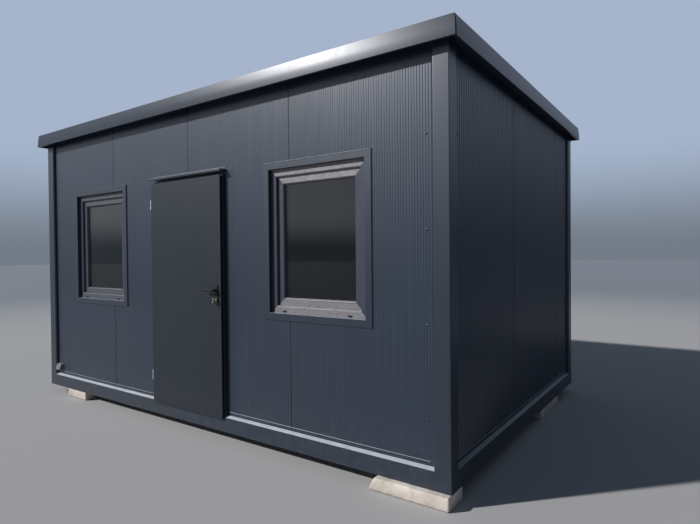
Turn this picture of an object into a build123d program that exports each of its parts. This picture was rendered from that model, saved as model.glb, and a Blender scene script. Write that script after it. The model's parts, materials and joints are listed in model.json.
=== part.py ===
"""Portable site cabin: a welded steel frame on concrete blocks, filled with sandwich panels.

Millimetres. X runs along the front wall, the front faces -Y and +Z is up. The origin is on
the ground, under the middle of the cabin. The ring of posts and beams carries wall panels that
lie back from its outer faces, a roof with a deep folded fascia, two windows and one door.
"""

import os
from math import atan2, degrees, hypot

from build123d import *

os.makedirs("parts", exist_ok=True)

# Support blocks: their sizes, and how far the middle of each lies inside the frame's corner
block_height = 90
block_width = 218
front_right_length = 585
front_right_slope = 50
front_right_inset = (288, 59)
front_left_length = 370
front_left_inset = (565, 110)
rear_length = 640
rear_inset = (109, 950)

# Frame
cabin_length = 5000
cabin_width = 3300
frame_height = 2870
base_height = 120
post_size = 120
post_corner = 5
post_wall_corner = 16
steel_wall = 4
post_cap_plate = 6

# Fascia and roof
fascia_overhang = 75
fascia_height = 131
fascia_lip = 50
fascia_hem = 20
fascia_inner_cover = 60
fascia_sheet = 3
fascia_crown = 9
roof_panel_core = 40
roof_rib_height = 30
roof_rib_foot = 60
roof_rib_crest = 24
roof_ribs_per_panel = 3
roof_panel_count = 5
ceiling_trim_leg = 40
ceiling_trim_sheet = 2

# Wall panels and the drip rail that they stand in
panel_recess = 30
panel_thickness = 80
panel_module = 1190
end_corner_panel = 1215
end_panel = 1365
panel_joint = 2
tongue_depth = 14
tongue_thickness = 30
tongue_clearance = 0.5
rail_sheet = 2
rail_slope_rise = 14
rail_upstand = 43
rail_upstand_end = 30
rail_clearance = 0.5

# Floor
joist_count = 8
joist_flange = 50
joist_wall = 3
underfloor_sheet_thickness = 1
deck_thickness = 22

# Door
door_centre_x = -5
leaf_width = 950
leaf_height = 2030
leaf_bottom_rise = 106
leaf_front = 20
leaf_edge = 2
lip_thickness = 15
lip_overlap = 18
lip_overlap_bottom = 46
body_thickness = 35
frame_gap_free = 7
frame_gap = 5
stop_gap = 5
stop_width = 18
jamb_margin = 15
sill_height = 26
threshold_rise = 14

# Door hinges
hinge_offset = 10
knuckle_radius = 8
knuckle_length = 45
hinge_gap = 0.5
pin_radius = 5
pin_clearance = 0.3
pin_length = 38
hinge_rises = (315, 1900)
hinge_arm_width = 8

# Door cap
cap_side_overlap = 25
cap_sheet = 2
cap_top_rise = 2203
cap_upstand = 13
cap_projection = 38
cap_fall = 12
cap_lip = 12

# Door furniture
spindle_from_edge = 50
spindle_rise = 1180
plate_width = 32
plate_above_spindle = 45
plate_below_spindle = 125
plate_thickness = 8
plate_corner = 15
plate_edge = 2
neck_radius = 9
neck_clearance = 0.5
spindle_radius = 5
neck_length = 13
neck_gap = 2
lever_projection = 50
lever_length = 145
lever_depth = 14
lever_height = 20
lever_bend = 14
lever_throat = 6
lever_tip = 5
lever_edge = 3
lock_below_spindle = 72
cylinder_radius = 8.5
cylinder_height = 33
cylinder_proud = 3
cylinder_slack = 0.3
key_shank = 8
key_bow_radius = 11
key_hole_radius = 2.5
key_hole_edge = 3
key_shank_height = 8
key_thickness = 2.5
key_blade = 20
ring_radius = 9
ring_wire = 0.9
ring_slack = 0.2

# Windows
window_width = 895
window_height = 1110
window_sill_rise = 1020
left_window_x = -1455
right_window_x = 1428
trim_width = 50
trim_proud = 10
trim_sheet = 2
reveal_depth = 21
opening_gap = 1
frame_lip_width = 59
frame_lip_depth = 20
frame_slope = 7
frame_back_width = 44
frame_depth = 60
sash_gap = 4
sash_depth = 48
sash_visible = 61
bead_width = 10
bead_depth = 14
glass_setback = 18
glass_thickness = 24
glass_edge = 12
glass_slack = 0.3
handle_base_width = 30
handle_base_height = 70
handle_base_depth = 12
handle_base_corner = 6
handle_neck_radius = 8
handle_reach = 40
handle_length = 125
handle_grip_width = 20
handle_grip_depth = 9
handle_grip_edge = 3

# Power inlet box: a flange on the wall, a housing with a sloping front and a hinged lid on it
inlet_from_post = 6
inlet_rise = 178
inlet_width = 98
inlet_height = 75
inlet_depth = 45
inlet_corner = 8
inlet_flange = 8
inlet_margin = 8
inlet_slope = 18
lid_overlap = 2
lid_thickness = 3
lid_corner = 6
lid_barrel_radius = 4
lid_barrel_length = 40

# Levels above the ground and the faces that the pieces share
base_bottom = block_height
base_top = base_bottom + base_height
roof_top = base_bottom + frame_height
fascia_bottom = roof_top - fascia_height
soffit = fascia_bottom + fascia_lip
beam_top = roof_top - fascia_sheet
panel_bottom = base_top + rail_sheet
panel_height = soffit - panel_bottom
half_length = cabin_length / 2
half_width = cabin_width / 2
front = -half_width
panel_front = front + panel_recess
panel_back = panel_front + panel_thickness
bay_length = cabin_length - 2 * post_size
bay_width = cabin_width - 2 * post_size

leaf_left = door_centre_x - leaf_width / 2
leaf_right = leaf_left + leaf_width
leaf_bottom = base_bottom + leaf_bottom_rise
leaf_top = leaf_bottom + leaf_height
leaf_face = front - leaf_front
lip_back = leaf_face + lip_thickness
body_back = lip_back + body_thickness
body_left = leaf_left + lip_overlap
body_right = leaf_right - lip_overlap
body_bottom = leaf_bottom + lip_overlap_bottom
body_top = leaf_top - lip_overlap
jamb_left = leaf_left - jamb_margin
jamb_right = leaf_right + jamb_margin
head_top = leaf_top + jamb_margin
spindle_x = leaf_right - spindle_from_edge
spindle_z = base_bottom + spindle_rise
lock_z = spindle_z - lock_below_spindle
hinge_x = leaf_left - hinge_offset
hinge_y = leaf_face + lip_thickness / 2

window_middle = base_bottom + window_sill_rise + window_height / 2
reveal_back = panel_front + reveal_depth

# Planes across each side: local X runs inwards, local Y is up, and the origin is on the
# outer face of the frame at ground level
sides = {
    "front": Plane((0, -half_width, 0), x_dir=(0, 1, 0), z_dir=(1, 0, 0)),
    "rear": Plane((0, half_width, 0), x_dir=(0, -1, 0), z_dir=(-1, 0, 0)),
    "left": Plane((-half_length, 0, 0), x_dir=(1, 0, 0), z_dir=(0, -1, 0)),
    "right": Plane((half_length, 0, 0), x_dir=(-1, 0, 0), z_dir=(0, 1, 0)),
}
spans = {"front": bay_length, "rear": bay_length, "left": bay_width, "right": bay_width}
side_lengths = {
    "front": cabin_length,
    "rear": cabin_length,
    "left": cabin_width,
    "right": cabin_width,
}

# Plans of the four walls: local X runs along the wall and local Y runs inwards
plans = {
    "front": Plane((0, -half_width, panel_bottom), x_dir=(1, 0, 0), z_dir=(0, 0, 1)),
    "rear": Plane((0, half_width, panel_bottom), x_dir=(-1, 0, 0), z_dir=(0, 0, 1)),
    "left": Plane((-half_length, 0, panel_bottom), x_dir=(0, -1, 0), z_dir=(0, 0, 1)),
    "right": Plane((half_length, 0, panel_bottom), x_dir=(0, 1, 0), z_dir=(0, 0, 1)),
}


def save(part, name):
    part.label = name
    export_step(part, f"parts/{name}.step")


def upright(y):
    """A plane that faces the front at depth y, so that its sketches are drawn in X and Z."""
    return Plane((0, y, 0), x_dir=(1, 0, 0), z_dir=(0, -1, 0))


def outline(points):
    """A closed face through points, inside a sketch."""
    return Polygon(*points, align=None)


def corners(x_low, z_low, x_high, z_high, mode=Mode.ADD):
    """A rectangle between two corners, inside a sketch."""
    with Locations(((x_low + x_high) / 2, (z_low + z_high) / 2)):
        Rectangle(x_high - x_low, z_high - z_low, mode=mode)


def mitre(plane, half):
    """Cuts both ends of the current part along the diagonals of the corners, half from the middle."""
    for end in (1, -1):
        corner = plane.from_local_coords((0, 0, end * half))
        across = plane.x_dir + plane.z_dir * end
        split(bisect_by=Plane(corner, z_dir=across), keep=Keep.BOTTOM)


# Support blocks: the near right one has a sloping end
blocks = {
    "front_right_block": (1, -1, front_right_inset, front_right_length, block_width, front_right_slope),
    "front_left_block": (-1, -1, front_left_inset, front_left_length, block_width, 0),
    "rear_right_block": (1, 1, rear_inset, block_width, rear_length, 0),
    "rear_left_block": (-1, 1, rear_inset, block_width, rear_length, 0),
}
for name, (sx, sy, inset, length, width, slope) in blocks.items():
    x = sx * (half_length - inset[0])
    y = sy * (half_width - inset[1])
    with BuildPart() as block:
        with BuildSketch(Plane((x, y, 0), x_dir=(1, 0, 0), z_dir=(0, -1, 0))):
            outline([
                (-length / 2, 0),
                (length / 2, 0),
                (length / 2, block_height),
                (-length / 2 + slope, block_height),
            ])
        extrude(amount=width / 2, both=True)
    save(block.part, name)

# Base beams: a ring of tubes, mitred at the corners
for side, plane in sides.items():
    half = side_lengths[side] / 2
    with BuildPart() as beam:
        with BuildSketch(plane):
            with Locations((post_size / 2, base_bottom + base_height / 2)):
                Rectangle(post_size, base_height)
                Rectangle(post_size - 2 * steel_wall, base_height - 2 * steel_wall, mode=Mode.SUBTRACT)
        extrude(amount=half, both=True)
        mitre(plane, half)
    save(beam.part, f"{side}_base_beam")


def post_section(sx, sy):
    """A square section whose two edges beside the walls are rounder than the other two."""
    Rectangle(post_size, post_size)
    ordered = vertices().sort_by(lambda vertex: vertex.X * sx + vertex.Y * sy)
    fillet(ordered[1:3], post_wall_corner)
    ordered = vertices().sort_by(lambda vertex: vertex.X * sx + vertex.Y * sy)
    fillet((ordered[0], ordered[-1]), post_corner)


# Corner posts: tubes on the base ring, with a plate at each end
post_height = soffit - base_top
for name, sx, sy in (
    ("front_left_post", -1, -1),
    ("front_right_post", 1, -1),
    ("rear_left_post", -1, 1),
    ("rear_right_post", 1, 1),
):
    centre_x = sx * (half_length - post_size / 2)
    centre_y = sy * (half_width - post_size / 2)
    with BuildPart() as post:
        with BuildSketch(Plane((centre_x, centre_y, base_top))):
            post_section(sx, sy)
        extrude(amount=post_height)
        with BuildSketch(Plane((centre_x, centre_y, base_top + post_cap_plate))):
            post_section(sx, sy)
            offset(amount=-steel_wall, mode=Mode.REPLACE)
        extrude(amount=post_height - 2 * post_cap_plate, mode=Mode.SUBTRACT)
    save(post.part, name)


def rail_section():
    """A folded rail on the base beam: a foot under the panel, a sloping drip and an upstand."""
    inner = panel_recess - rail_sheet
    outline([
        (0, base_top),
        (panel_recess + panel_thickness, base_top),
        (panel_recess + panel_thickness, base_top + rail_sheet),
        (panel_recess, base_top + rail_sheet),
        (panel_recess, base_top + rail_upstand),
        (inner, base_top + rail_upstand),
        (inner, base_top + rail_sheet + rail_slope_rise),
        (0, base_top + rail_sheet),
    ])


# Drip rails: their ends are cut round the posts, their upstands stop short of them, and the front
# one stops at both sides of the door frame
for side, plane in sides.items():
    run = spans[side] / 2
    with BuildPart() as rail:
        with BuildSketch(plane):
            rail_section()
        extrude(amount=run + post_wall_corner, both=True)
        with BuildSketch(plans[side]):
            with Locations((0, post_size)):
                with GridLocations(2 * run + post_size, 0, 2, 1):
                    RectangleRounded(
                        post_size + 2 * rail_clearance,
                        2 * (post_size + rail_clearance),
                        post_wall_corner + rail_clearance,
                    )
            if side == "front":
                corners(jamb_left, 0, jamb_right, post_size)
        extrude(amount=rail_upstand, both=True, mode=Mode.SUBTRACT)
        with BuildSketch(plans[side].offset(rail_slope_rise)):
            with GridLocations(2 * run, 0, 2, 1):
                Rectangle(2 * rail_upstand_end, 2 * post_size)
        extrude(amount=rail_upstand, mode=Mode.SUBTRACT)
    save(rail.part, f"{side}_drip_rail")

# Floor: a sheet below, channel joists across and a deck above
with BuildPart() as underfloor:
    with BuildSketch(Plane.XY.offset(base_bottom)):
        Rectangle(bay_length, bay_width)
    extrude(amount=underfloor_sheet_thickness)
save(underfloor.part, "underfloor_sheet")

joist_bottom = base_bottom + underfloor_sheet_thickness
joist_height = base_top - joist_bottom
joist_pitch = bay_length / joist_count
with BuildPart() as joists:
    with BuildSketch(Plane((0, 0, 0), x_dir=(1, 0, 0), z_dir=(0, -1, 0))):
        with Locations((0, joist_bottom + joist_height / 2)):
            with GridLocations(joist_pitch, 0, joist_count - 1, 1):
                Rectangle(joist_flange, joist_height)
            with Locations((joist_wall, 0)):
                with GridLocations(joist_pitch, 0, joist_count - 1, 1):
                    Rectangle(joist_flange, joist_height - 2 * joist_wall, mode=Mode.SUBTRACT)
    extrude(amount=bay_width / 2, both=True)
save(joists.part, "floor_joists")

room_length = cabin_length - 2 * (panel_recess + panel_thickness)
room_width = cabin_width - 2 * (panel_recess + panel_thickness)
with BuildPart() as deck:
    with BuildSketch(Plane.XY.offset(base_top)):
        Rectangle(room_length, room_width)
        with GridLocations(cabin_length - post_size, cabin_width - post_size, 2, 2):
            Rectangle(post_size, post_size, mode=Mode.SUBTRACT)
    extrude(amount=deck_thickness)
save(deck.part, "floor_deck")


def panel_edges(span, first, module):
    """The upright edges of a wall's panels, from one post to the other; the last is cut to fit."""
    edges = []
    reach = 0
    width = first
    while span - reach > panel_joint:
        edge = min(reach + width, span)
        edges.append((reach - span / 2, edge - span / 2))
        reach = edge
        width = module
    return edges


def panel_section(low, high, span):
    """A panel in plan: a tongue on its high edge and a groove in its low edge, between panels."""
    face = panel_recess
    back = panel_recess + panel_thickness
    middle = (face + back) / 2
    tongue = tongue_thickness / 2
    groove = tongue + tongue_clearance
    left = low + panel_joint / 2
    right = high - panel_joint / 2
    corners(left, face, right, back)
    if high < span / 2:
        corners(right, middle - tongue, right + tongue_depth, middle + tongue)
    if low > -span / 2:
        groove_end = left + tongue_depth - panel_joint + tongue_clearance
        corners(left, middle - groove, groove_end, middle + groove, Mode.SUBTRACT)


# Front wall panels, cut for the door and the windows
for index, (low, high) in enumerate(panel_edges(bay_length, panel_module, panel_module)):
    with BuildPart() as panel:
        with BuildSketch(plans["front"]):
            panel_section(low, high, bay_length)
        extrude(amount=panel_height)
        with BuildSketch(upright(panel_front)):
            with Locations((left_window_x, window_middle), (right_window_x, window_middle)):
                Rectangle(window_width, window_height)
            corners(jamb_left - opening_gap, 0, jamb_right + opening_gap, head_top + opening_gap)
        extrude(amount=-panel_thickness, mode=Mode.SUBTRACT)
    save(panel.part, f"front_panel_{index + 1}")

# Plain walls: the end walls start at the front post with a narrower panel
for side, first, module in (
    ("rear", panel_module, panel_module),
    ("left", end_corner_panel, end_panel),
    ("right", end_corner_panel, end_panel),
):
    edges = panel_edges(spans[side], first, module)
    if side == "left":
        edges = [(-high, -low) for low, high in edges]
    with BuildPart() as wall:
        for low, high in edges:
            with BuildSketch(plans[side]):
                panel_section(low, high, spans[side])
            extrude(amount=panel_height)
    save(wall.part, f"{side}_wall_panels")

# Roof beams: the long ones run over the posts, the short ones fit between them
beam_height = beam_top - soffit
for side, plane in sides.items():
    run = cabin_length if side in ("front", "rear") else bay_width
    with BuildPart() as beam:
        with BuildSketch(plane):
            with Locations((post_size / 2, soffit + beam_height / 2)):
                Rectangle(post_size, beam_height)
                Rectangle(post_size - 2 * steel_wall, beam_height - 2 * steel_wall, mode=Mode.SUBTRACT)
        extrude(amount=run / 2, both=True)
    save(beam.part, f"{side}_roof_beam")


def crowned_face(inwards):
    """The arc of the fascia's face: upright at its foot, it leans back to the crown at its top."""
    foot = (inwards - fascia_overhang, fascia_bottom)
    head = (inwards - fascia_overhang + fascia_crown, roof_top)
    TangentArc(foot, head, tangent=(0, 1))
    return foot, head


# Fascia: a rolled sheet with a crowned face, a hem at its foot, a soffit and a cover over the roof
# beam, mitred at the corners
for side, plane in sides.items():
    half = side_lengths[side] / 2
    with BuildPart() as fascia:
        with BuildSketch(plane):
            with BuildLine():
                outer_foot, outer_head = crowned_face(0)
                inner_foot, inner_head = crowned_face(fascia_sheet)
                Line(outer_foot, inner_foot)
                Line(outer_head, inner_head)
            make_face()
            corners(
                -fascia_overhang,
                fascia_bottom,
                -fascia_overhang + fascia_hem,
                fascia_bottom + fascia_sheet,
            )
            corners(-fascia_overhang + fascia_sheet, soffit, 0, soffit + fascia_sheet)
            corners(-fascia_overhang + fascia_crown, beam_top, fascia_inner_cover, roof_top)
        extrude(amount=half + fascia_overhang, both=True)
        mitre(plane, half)
    save(fascia.part, f"{side}_fascia")

# Roof panels: flat below, with trapezoidal ribs that run from front to rear
roof_module = bay_length / roof_panel_count
rib_pitch = roof_module / roof_ribs_per_panel
rib_angle = degrees(atan2(roof_rib_height, (roof_rib_foot - roof_rib_crest) / 2))
with BuildPart() as roof:
    with BuildSketch(Plane((0, 0, soffit), x_dir=(1, 0, 0), z_dir=(0, -1, 0))):
        with GridLocations(roof_module, 0, roof_panel_count, 1):
            with Locations((0, roof_panel_core / 2)):
                Rectangle(roof_module - panel_joint, roof_panel_core)
            with Locations((0, roof_panel_core + roof_rib_height / 2)):
                with GridLocations(rib_pitch, 0, roof_ribs_per_panel, 1):
                    Trapezoid(roof_rib_foot, roof_rib_height, rib_angle)
    extrude(amount=bay_width / 2, both=True)
save(roof.part, "roof_panels")

# Ceiling trim: an angle under the roof panels, round the tops of the walls
with BuildPart() as ceiling_trim:
    for side, plane in sides.items():
        half = side_lengths[side] / 2 - panel_joint
        wall_face = panel_recess + panel_thickness
        with BuildSketch(plane):
            outline([
                (wall_face, soffit),
                (wall_face, soffit - ceiling_trim_leg),
                (wall_face + ceiling_trim_sheet, soffit - ceiling_trim_leg),
                (wall_face + ceiling_trim_sheet, soffit - ceiling_trim_sheet),
                (wall_face + ceiling_trim_leg, soffit - ceiling_trim_sheet),
                (wall_face + ceiling_trim_leg, soffit),
            ])
        angle = extrude(amount=side_lengths[side] / 2 - post_size - panel_joint, both=True, mode=Mode.PRIVATE)
        for end in (1, -1):
            corner = plane.from_local_coords((0, 0, end * half))
            across = plane.x_dir + plane.z_dir * end
            angle = split(angle, bisect_by=Plane(corner, z_dir=across), keep=Keep.BOTTOM, mode=Mode.PRIVATE)
        add(angle)
save(ceiling_trim.part, "ceiling_trim")


def ring(plane, centre, outer, inner, depth):
    """A rectangular ring that runs back from plane by depth."""
    with BuildSketch(plane) as section:
        with Locations(centre):
            Rectangle(*outer)
            Rectangle(*inner, mode=Mode.SUBTRACT)
    extrude(section.sketch, amount=-depth)


def slope_edges(y, centre, opening, width, depth):
    """Slopes the edges of a rectangular opening, from width outside it at y to nothing at depth."""
    with BuildSketch(upright(y)) as wide:
        with Locations(centre):
            Rectangle(*(size + 2 * width for size in opening))
    with BuildSketch(upright(y + depth)) as narrow:
        with Locations(centre):
            Rectangle(*opening)
    loft([wide.sketch, narrow.sketch], mode=Mode.SUBTRACT)


# Windows
liner_outer = (window_width - 2 * opening_gap, window_height - 2 * opening_gap)
liner_inner = tuple(size - 2 * trim_sheet for size in liner_outer)
trim_outer = (window_width + 2 * trim_width, window_height + 2 * trim_width)
frame_outer = tuple(size - 2 * opening_gap for size in (window_width, window_height))
lip_inner = tuple(size - 2 * frame_lip_width for size in frame_outer)
back_inner = tuple(size - 2 * frame_back_width for size in frame_outer)
sash_outer = tuple(size - 2 * sash_gap for size in back_inner)
sash_inner = tuple(size - 2 * sash_visible for size in lip_inner)
glass_size = tuple(size + 2 * glass_edge for size in sash_inner)
groove_size = tuple(size + 2 * glass_slack for size in glass_size)
sash_front = reveal_back + frame_lip_depth
glass_front = sash_front + glass_setback

for name, window_x in (("left_window", left_window_x), ("right_window", right_window_x)):
    centre = (window_x, window_middle)
    with BuildPart() as trim:
        ring(upright(panel_front - trim_proud), centre, trim_outer, liner_inner, trim_proud)
        ring(upright(panel_front), centre, liner_outer, liner_inner, reveal_depth)
        with BuildSketch(upright(panel_front - trim_proud + trim_sheet)):
            with Locations(centre):
                Rectangle(*(size - 2 * trim_sheet for size in trim_outer))
                Rectangle(*liner_outer, mode=Mode.SUBTRACT)
        extrude(amount=-(trim_proud - trim_sheet), mode=Mode.SUBTRACT)
    save(trim.part, f"{name}_trim")

    with BuildPart() as frame:
        ring(upright(reveal_back), centre, frame_outer, lip_inner, frame_lip_depth)
        ring(upright(sash_front), centre, frame_outer, back_inner, frame_depth - frame_lip_depth)
        slope_edges(reveal_back, centre, lip_inner, frame_slope, frame_slope)
    save(frame.part, f"{name}_frame")

    with BuildPart() as sash:
        ring(upright(sash_front), centre, sash_outer, sash_inner, sash_depth)
        slope_edges(sash_front, centre, sash_inner, bead_width, bead_depth)
        with BuildSketch(upright(glass_front - glass_slack)):
            with Locations(centre):
                Rectangle(*groove_size)
        extrude(amount=-(glass_thickness + 2 * glass_slack), mode=Mode.SUBTRACT)
    save(sash.part, f"{name}_sash")

    with BuildPart() as glass:
        with BuildSketch(upright(glass_front)):
            with Locations(centre):
                Rectangle(*glass_size)
        extrude(amount=-glass_thickness)
    save(glass.part, f"{name}_glass")

# Window handles, on the inner face of each sash's left stile
sash_back = sash_front + sash_depth
stile_middle = (sash_outer[0] + sash_inner[0]) / 4
with BuildPart() as handles:
    for window_x in (left_window_x, right_window_x):
        handle_x = window_x - stile_middle
        with BuildSketch(upright(sash_back)):
            with Locations((handle_x, window_middle)):
                RectangleRounded(handle_base_width, handle_base_height, handle_base_corner)
        extrude(amount=-handle_base_depth)
        with BuildSketch(upright(sash_back + handle_base_depth)):
            with Locations((handle_x, window_middle)):
                Circle(handle_neck_radius)
        extrude(amount=-(handle_reach - handle_base_depth - handle_grip_depth))
        with BuildSketch(upright(sash_back + handle_reach - handle_grip_depth)):
            with Locations((handle_x, window_middle - (handle_length - handle_grip_width) / 2)):
                SlotOverall(handle_length, handle_grip_width, rotation=90)
        extrude(amount=-handle_grip_depth)
    grip_edges = handles.edges().group_by(Axis.Y)[-1]
    fillet(grip_edges, handle_grip_edge)
save(handles.part, "window_handles")

# Door frame: jambs, head and sill, with a narrower stop behind the leaf
sill_top = base_top + sill_height
inner_left = body_left - frame_gap
inner_right = body_right + frame_gap_free
inner_top = body_top + frame_gap
stop_front = body_back + stop_gap
with BuildPart() as door_frame:
    with BuildSketch(upright(front)):
        corners(jamb_left, base_top, jamb_right, head_top)
        corners(inner_left, sill_top, inner_right, inner_top, Mode.SUBTRACT)
    extrude(amount=-(stop_front - front))
    with BuildSketch(upright(stop_front)):
        corners(jamb_left, base_top, jamb_right, head_top)
        corners(
            inner_left + stop_width,
            sill_top + threshold_rise,
            inner_right - stop_width,
            inner_top - stop_width,
            Mode.SUBTRACT,
        )
    extrude(amount=-(panel_back - stop_front))
save(door_frame.part, "door_frame")

# Door cap: a folded sheet on the wall above the frame, with a drip lip
cap_back_rise = base_bottom + cap_top_rise - cap_upstand
cap_front_rise = cap_back_rise - cap_fall
cap_left = leaf_left - cap_side_overlap
cap_right = leaf_right + cap_side_overlap
cap_plane = sides["front"].offset(door_centre_x)
with BuildPart() as door_cap:
    with BuildSketch(cap_plane):
        outline([
            (panel_recess, cap_back_rise - cap_sheet),
            (panel_recess, base_bottom + cap_top_rise),
            (panel_recess - cap_sheet, base_bottom + cap_top_rise),
            (panel_recess - cap_sheet, cap_back_rise),
            (-cap_projection, cap_front_rise),
            (-cap_projection, cap_front_rise - cap_lip),
            (-cap_projection + cap_sheet, cap_front_rise - cap_lip),
            (-cap_projection + cap_sheet, cap_front_rise - cap_sheet),
        ])
    extrude(amount=(cap_right - cap_left) / 2, both=True)
save(door_cap.part, "door_cap")

# Door leaf: a front plate whose edges lap the frame, on a thicker body inside it
with BuildPart() as leaf:
    with BuildSketch(upright(leaf_face)):
        corners(leaf_left, leaf_bottom, leaf_right, leaf_top)
    extrude(amount=-lip_thickness)
    with BuildSketch(upright(lip_back)):
        corners(body_left, body_bottom, body_right, body_top)
    extrude(amount=-body_thickness)
    with BuildSketch(upright(leaf_face)):
        with Locations((spindle_x, spindle_z)):
            Circle(spindle_radius + neck_clearance)
        with Locations((spindle_x, lock_z)):
            Circle(cylinder_radius)
            with Locations((0, -(cylinder_height - 2 * cylinder_radius) / 2)):
                Rectangle(cylinder_radius, cylinder_height - 2 * cylinder_radius)
    extrude(amount=-(lip_thickness + body_thickness), mode=Mode.SUBTRACT)
    fillet(leaf.faces().sort_by(Axis.Y)[0].outer_wire().edges(), leaf_edge)
save(leaf.part, "door_leaf")

# Hinges: a lower knuckle with a pin on the frame and an upper knuckle on the leaf
with BuildPart() as hinge_posts:
    for rise in hinge_rises:
        with BuildSketch(Plane((hinge_x, hinge_y, base_bottom + rise))):
            Circle(knuckle_radius)
        extrude(amount=knuckle_length - hinge_gap)
        with BuildSketch(Plane((hinge_x, hinge_y, base_bottom + rise))):
            with Locations((0, (front - hinge_y) / 2)):
                Rectangle(hinge_arm_width, front - hinge_y)
        extrude(amount=knuckle_length - hinge_gap)
        with BuildSketch(Plane((hinge_x, hinge_y, base_bottom + rise + knuckle_length - hinge_gap))):
            Circle(pin_radius)
        extrude(amount=pin_length)
save(hinge_posts.part, "hinge_posts")

with BuildPart() as hinge_caps:
    for rise in hinge_rises:
        with BuildSketch(Plane((hinge_x, hinge_y, base_bottom + rise + knuckle_length))):
            Circle(knuckle_radius)
            with Locations(((leaf_left - hinge_x) / 2, 0)):
                Rectangle(leaf_left - hinge_x, hinge_arm_width)
        extrude(amount=knuckle_length)
        with BuildSketch(Plane((hinge_x, hinge_y, base_bottom + rise + knuckle_length))):
            Circle(pin_radius + pin_clearance)
        extrude(amount=pin_length + pin_clearance, mode=Mode.SUBTRACT)
save(hinge_caps.part, "hinge_caps")

# Door plates, one on each face of the leaf
plate_centre = (spindle_x, spindle_z + (plate_above_spindle - plate_below_spindle) / 2)
plate_height = plate_above_spindle + plate_below_spindle
with BuildPart() as plates:
    for face, depth in ((leaf_face, plate_thickness), (body_back, -plate_thickness)):
        with BuildSketch(upright(face)):
            with Locations(plate_centre):
                RectangleRounded(plate_width, plate_height, plate_corner)
            with Locations((spindle_x, spindle_z)):
                Circle(neck_radius + neck_clearance, mode=Mode.SUBTRACT)
            with Locations((spindle_x, lock_z)):
                Circle(cylinder_radius + cylinder_slack, mode=Mode.SUBTRACT)
                with Locations((0, -(cylinder_height - 2 * cylinder_radius) / 2)):
                    Rectangle(
                        cylinder_radius + 2 * cylinder_slack,
                        cylinder_height - 2 * cylinder_radius + 2 * cylinder_slack,
                        mode=Mode.SUBTRACT,
                    )
        extrude(amount=depth)
    for end in (0, -1):
        fillet(plates.faces().sort_by(Axis.Y)[end].outer_wire().edges(), plate_edge)
save(plates.part, "door_plates")

# Lever handles: one outside and one inside, joined by the spindle. Each is a bar that bends
# through a right angle from its round neck
lever_end = spindle_x - lever_length + lever_height / 2
with BuildPart() as levers:
    with BuildSketch(upright(leaf_face - neck_length)):
        with Locations((spindle_x, spindle_z)):
            Circle(spindle_radius)
    extrude(amount=-(body_back - leaf_face + 2 * neck_length))
    for face, outwards in ((leaf_face, -1), (body_back, 1)):
        with BuildSketch(upright(face + outwards * neck_length)):
            with Locations((spindle_x, spindle_z)):
                Circle(neck_radius)
        extrude(amount=outwards * (neck_length - neck_gap))
        start = face + outwards * neck_length
        outer = face + outwards * lever_projection
        inner = outer - outwards * lever_depth
        with BuildSketch(Plane.XY.offset(spindle_z)):
            with BuildLine():
                FilletPolyline(
                    (spindle_x + neck_radius, start),
                    (spindle_x + neck_radius, outer),
                    (lever_end, outer),
                    (lever_end, inner),
                    (spindle_x - neck_radius, inner),
                    (spindle_x - neck_radius, start),
                    radius=[lever_bend, lever_tip, lever_tip, lever_throat],
                )
                Line((spindle_x - neck_radius, start), (spindle_x + neck_radius, start))
            make_face()
        extrude(amount=lever_height / 2, both=True)
        rims = levers.edges(Select.LAST).filter_by(
            lambda edge: abs(edge.center().Z - spindle_z) > lever_height / 2 - lever_edge
            and abs(edge.center().Y - start) > lever_edge
        )
        fillet(rims, lever_edge)
save(levers.part, "lever_handles")

# Lock cylinder, through the leaf
key_face = leaf_face - plate_thickness - cylinder_proud
with BuildPart() as cylinder:
    with BuildSketch(upright(key_face)):
        with Locations((spindle_x, lock_z)):
            Circle(cylinder_radius - cylinder_slack)
            with Locations((0, -(cylinder_height - 2 * cylinder_radius) / 2)):
                Rectangle(
                    cylinder_radius - cylinder_slack,
                    cylinder_height - 2 * cylinder_radius - cylinder_slack,
                )
    extrude(amount=-(lip_thickness + body_thickness + 2 * (plate_thickness + cylinder_proud)))
save(cylinder.part, "lock_cylinder")

# Keys: one in the cylinder, a ring through its bow and a second key that hangs from the ring
key_plane = Plane((spindle_x, 0, 0), x_dir=(0, 1, 0), z_dir=(1, 0, 0))
bow_y = key_face - key_shank - key_bow_radius
hole_from_bow = key_bow_radius - key_hole_radius - key_hole_edge
hole_y = bow_y - hole_from_bow
wire_drop = key_hole_radius - ring_wire - ring_slack
ring_top = lock_z - wire_drop
ring_z = ring_top - ring_radius
hanging_hole_z = ring_z - ring_radius - wire_drop
hanging_bow_z = hanging_hole_z - hole_from_bow
with BuildPart() as keys:
    with BuildSketch(key_plane):
        corners(bow_y, lock_z - key_shank_height / 2, key_face, lock_z + key_shank_height / 2)
        with Locations((bow_y, lock_z)):
            Circle(key_bow_radius)
        with Locations((hole_y, lock_z)):
            Circle(key_hole_radius, mode=Mode.SUBTRACT)
    extrude(amount=key_thickness / 2, both=True)
    with BuildSketch(key_plane):
        with Locations((hole_y, hanging_bow_z)):
            Circle(key_bow_radius)
        corners(
            hole_y - key_shank_height / 2,
            hanging_bow_z - key_bow_radius - key_blade,
            hole_y + key_shank_height / 2,
            hanging_bow_z,
        )
        with Locations((hole_y, hanging_hole_z)):
            Circle(key_hole_radius, mode=Mode.SUBTRACT)
    extrude(amount=key_thickness / 2, both=True)
    with BuildSketch(Plane.XY.offset(ring_z)):
        with Locations((spindle_x + ring_radius, hole_y)):
            Circle(ring_wire)
    revolve(axis=Axis((spindle_x, hole_y, ring_z), (0, 1, 0)))
save(keys.part, "keys")

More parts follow.
